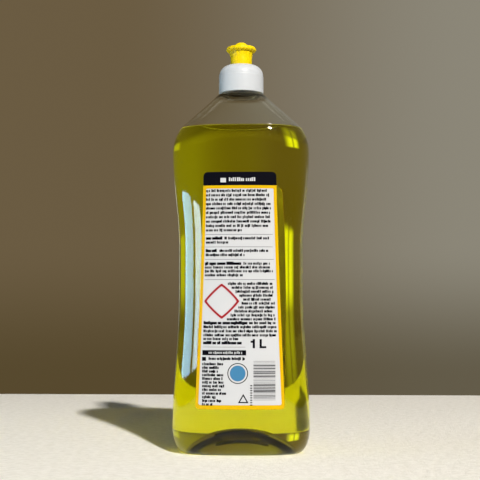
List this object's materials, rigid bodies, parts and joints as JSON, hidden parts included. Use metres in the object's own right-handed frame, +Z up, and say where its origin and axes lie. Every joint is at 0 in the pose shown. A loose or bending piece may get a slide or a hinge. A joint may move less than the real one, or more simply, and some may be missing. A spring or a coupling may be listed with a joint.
{
  "type": "dish soap bottle",
  "caption": "Clear waisted squeeze bottle full of yellow-green dish soap, with paper labels, a white screw cap and a yellow push-pull spout.",
  "frame": {"origin": "on the floor plane, under the middle of the standing ring", "axes": "+Z up along the neck, +X along the bottle's width, -Y out of the back label"},
  "size_m": [0.0984, 0.0598, 0.295],
  "materials": {
    "clear_pet": "clear, glossy",
    "soap": "clear yellow-green liquid",
    "label_film": "satin film",
    "wad_foam": "matte foam",
    "white_cap": "semi-gloss moulded",
    "yellow_spout": "semi-gloss moulded"
  },
  "bodies": {
    "bottle": {"bottle": "clear_pet", "liquid_fill": "soap", "back_label": "label_film", "front_label": "label_film"},
    "seal": {"seal_wad": "wad_foam"},
    "closure": {"cap": "white_cap"},
    "spout": {"spout": "yellow_spout"}
  },
  "joints": [
    {"name": "wad_lift", "type": "slide", "parent": "bottle", "child": "seal", "axis": [0, 0, 1], "range_m": [0, 0.0063]},
    {"name": "cap_turn", "type": "hinge", "parent": "seal", "child": "closure", "pos_m": [0, 0, 0.2572], "axis": [0, 0, 1], "range_deg": [0, 540]},
    {"name": "spout_slide", "type": "slide", "parent": "closure", "child": "spout", "axis": [0, 0, 1], "range_m": [0, 0.006]}
  ],
  "couplings": [
    {"joint": "wad_lift", "follows": "cap_turn", "m_per_rad": 0.000668}
  ]
}
